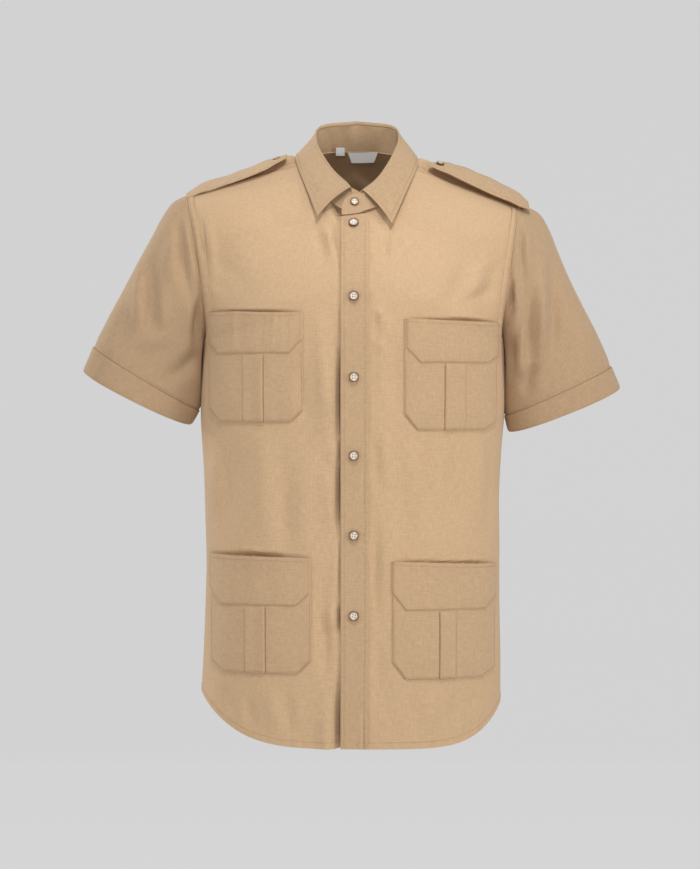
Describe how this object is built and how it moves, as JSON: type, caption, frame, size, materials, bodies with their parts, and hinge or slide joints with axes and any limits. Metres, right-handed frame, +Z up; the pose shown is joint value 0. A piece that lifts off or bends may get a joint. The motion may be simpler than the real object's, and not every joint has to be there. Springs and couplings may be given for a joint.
{
  "type": "short-sleeved field shirt",
  "caption": "Worn-shape hollow short-sleeved button-front shirt with fall collar, shoulder straps, flapped pleated patch pockets and turned-up cuffs.",
  "frame": {"origin": "centre of the neck at the height of the shoulders, where the wearer holds the shirt up", "axes": "+Z up, +Y from the front to the back, +X to the wearer's left"},
  "size_m": [0.682, 0.2659, 0.7931],
  "materials": {
    "twill": "matt cotton twill",
    "button": "polished, horn-coloured rim",
    "label": "plain woven tape"
  },
  "bodies": {
    "root": {"front_right": "twill", "front_left": "twill", "back": "twill", "yoke": "twill", "sleeve_right": "twill", "cuff_right": "twill", "sleeve_left": "twill", "cuff_left": "twill", "collar_stand": "twill", "collar": "twill", "placket": "twill", "pocket_chest_right": "twill", "flap_chest_right": "twill", "pocket_chest_left": "twill", "flap_chest_left": "twill", "pocket_low_right": "twill", "flap_low_right": "twill", "pocket_low_left": "twill", "flap_low_left": "twill", "epaulette_right": "twill", "epaulette_left": "twill", "button_1": "button", "button_2": "button", "button_3": "button", "button_4": "button", "button_5": "button", "button_6": "button", "button_stand": "button", "button_epaulette_right": "button", "button_epaulette_left": "button", "neck_label": "label", "size_tab": "label"}
  },
  "joints": []
}
